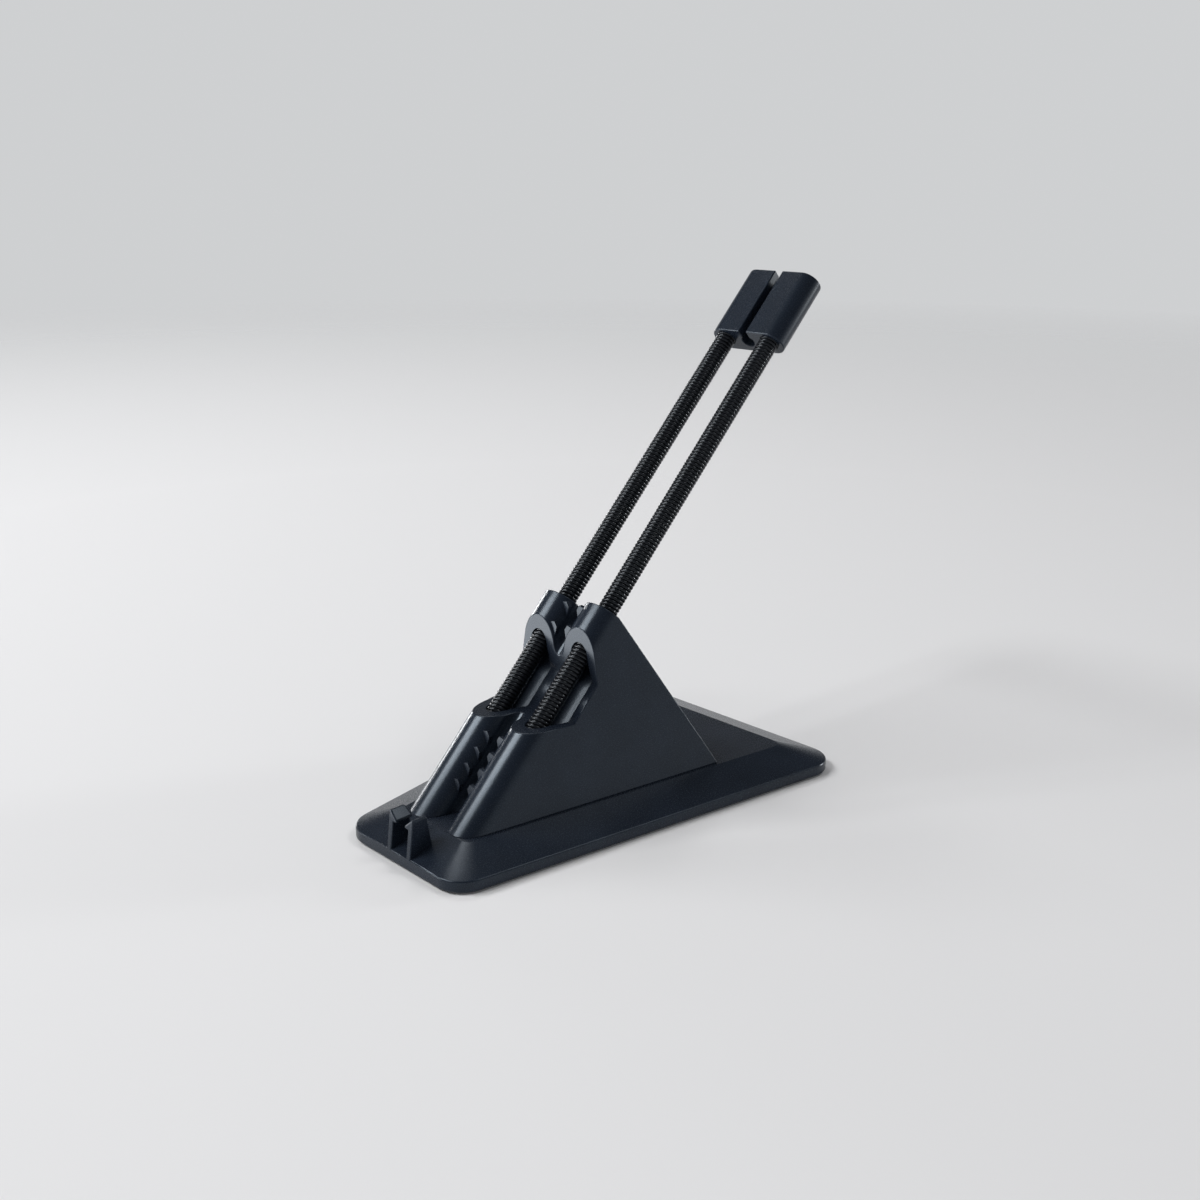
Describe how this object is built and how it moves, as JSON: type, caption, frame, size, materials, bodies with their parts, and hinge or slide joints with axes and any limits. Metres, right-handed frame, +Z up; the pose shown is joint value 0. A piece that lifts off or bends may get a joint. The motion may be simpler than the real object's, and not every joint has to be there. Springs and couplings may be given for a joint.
{
  "type": "mouse bungee",
  "caption": "Weighted desk stand that holds a mouse cable up: flared low base with a rear cable clip, sloping toothed housing, paired coil springs and a slotted head block.",
  "frame": {"origin": "middle of the pad's underside, on the table", "axes": "+X to the front, the way the arm leans; +Y to the left; +Z up"},
  "size_m": [0.1443, 0.0828, 0.132],
  "materials": {
    "satin_plastic": "satin blue-black moulded plastic",
    "cover_plastic": "matt black moulded plastic",
    "pad_rubber": "fine matt black rubber",
    "ballast_steel": "plain zinc-plated steel",
    "screw_steel": "bright plated steel",
    "plug_plastic": "matt black plastic",
    "spring_black": "glossy black coated spring steel"
  },
  "bodies": {
    "base": {"base_shell": "satin_plastic", "bottom_cover": "cover_plastic", "non_slip_pad": "pad_rubber", "ballast_plate": "ballast_steel", "cover_screws": "screw_steel", "ballast_screws": "screw_steel", "housing_screws": "screw_steel", "wedge_housing": "satin_plastic", "lower_plug_left": "plug_plastic", "lower_plug_right": "plug_plastic", "plug_screws": "screw_steel", "spring_left": "spring_black", "spring_right": "spring_black"},
    "head": {"head_block": "satin_plastic", "upper_plug_left": "plug_plastic", "upper_plug_right": "plug_plastic"}
  },
  "joints": [
    {"name": "arm_flex", "type": "hinge", "parent": "base", "child": "head", "pos_m": [0.0118, 0, 0.0602], "axis": [0, 1, 0], "range_deg": [-25, 35], "stiffness_Nm_per_rad": 0.04, "springref_deg": -2.86, "deforming": ["spring_left", "spring_right"]}
  ]
}
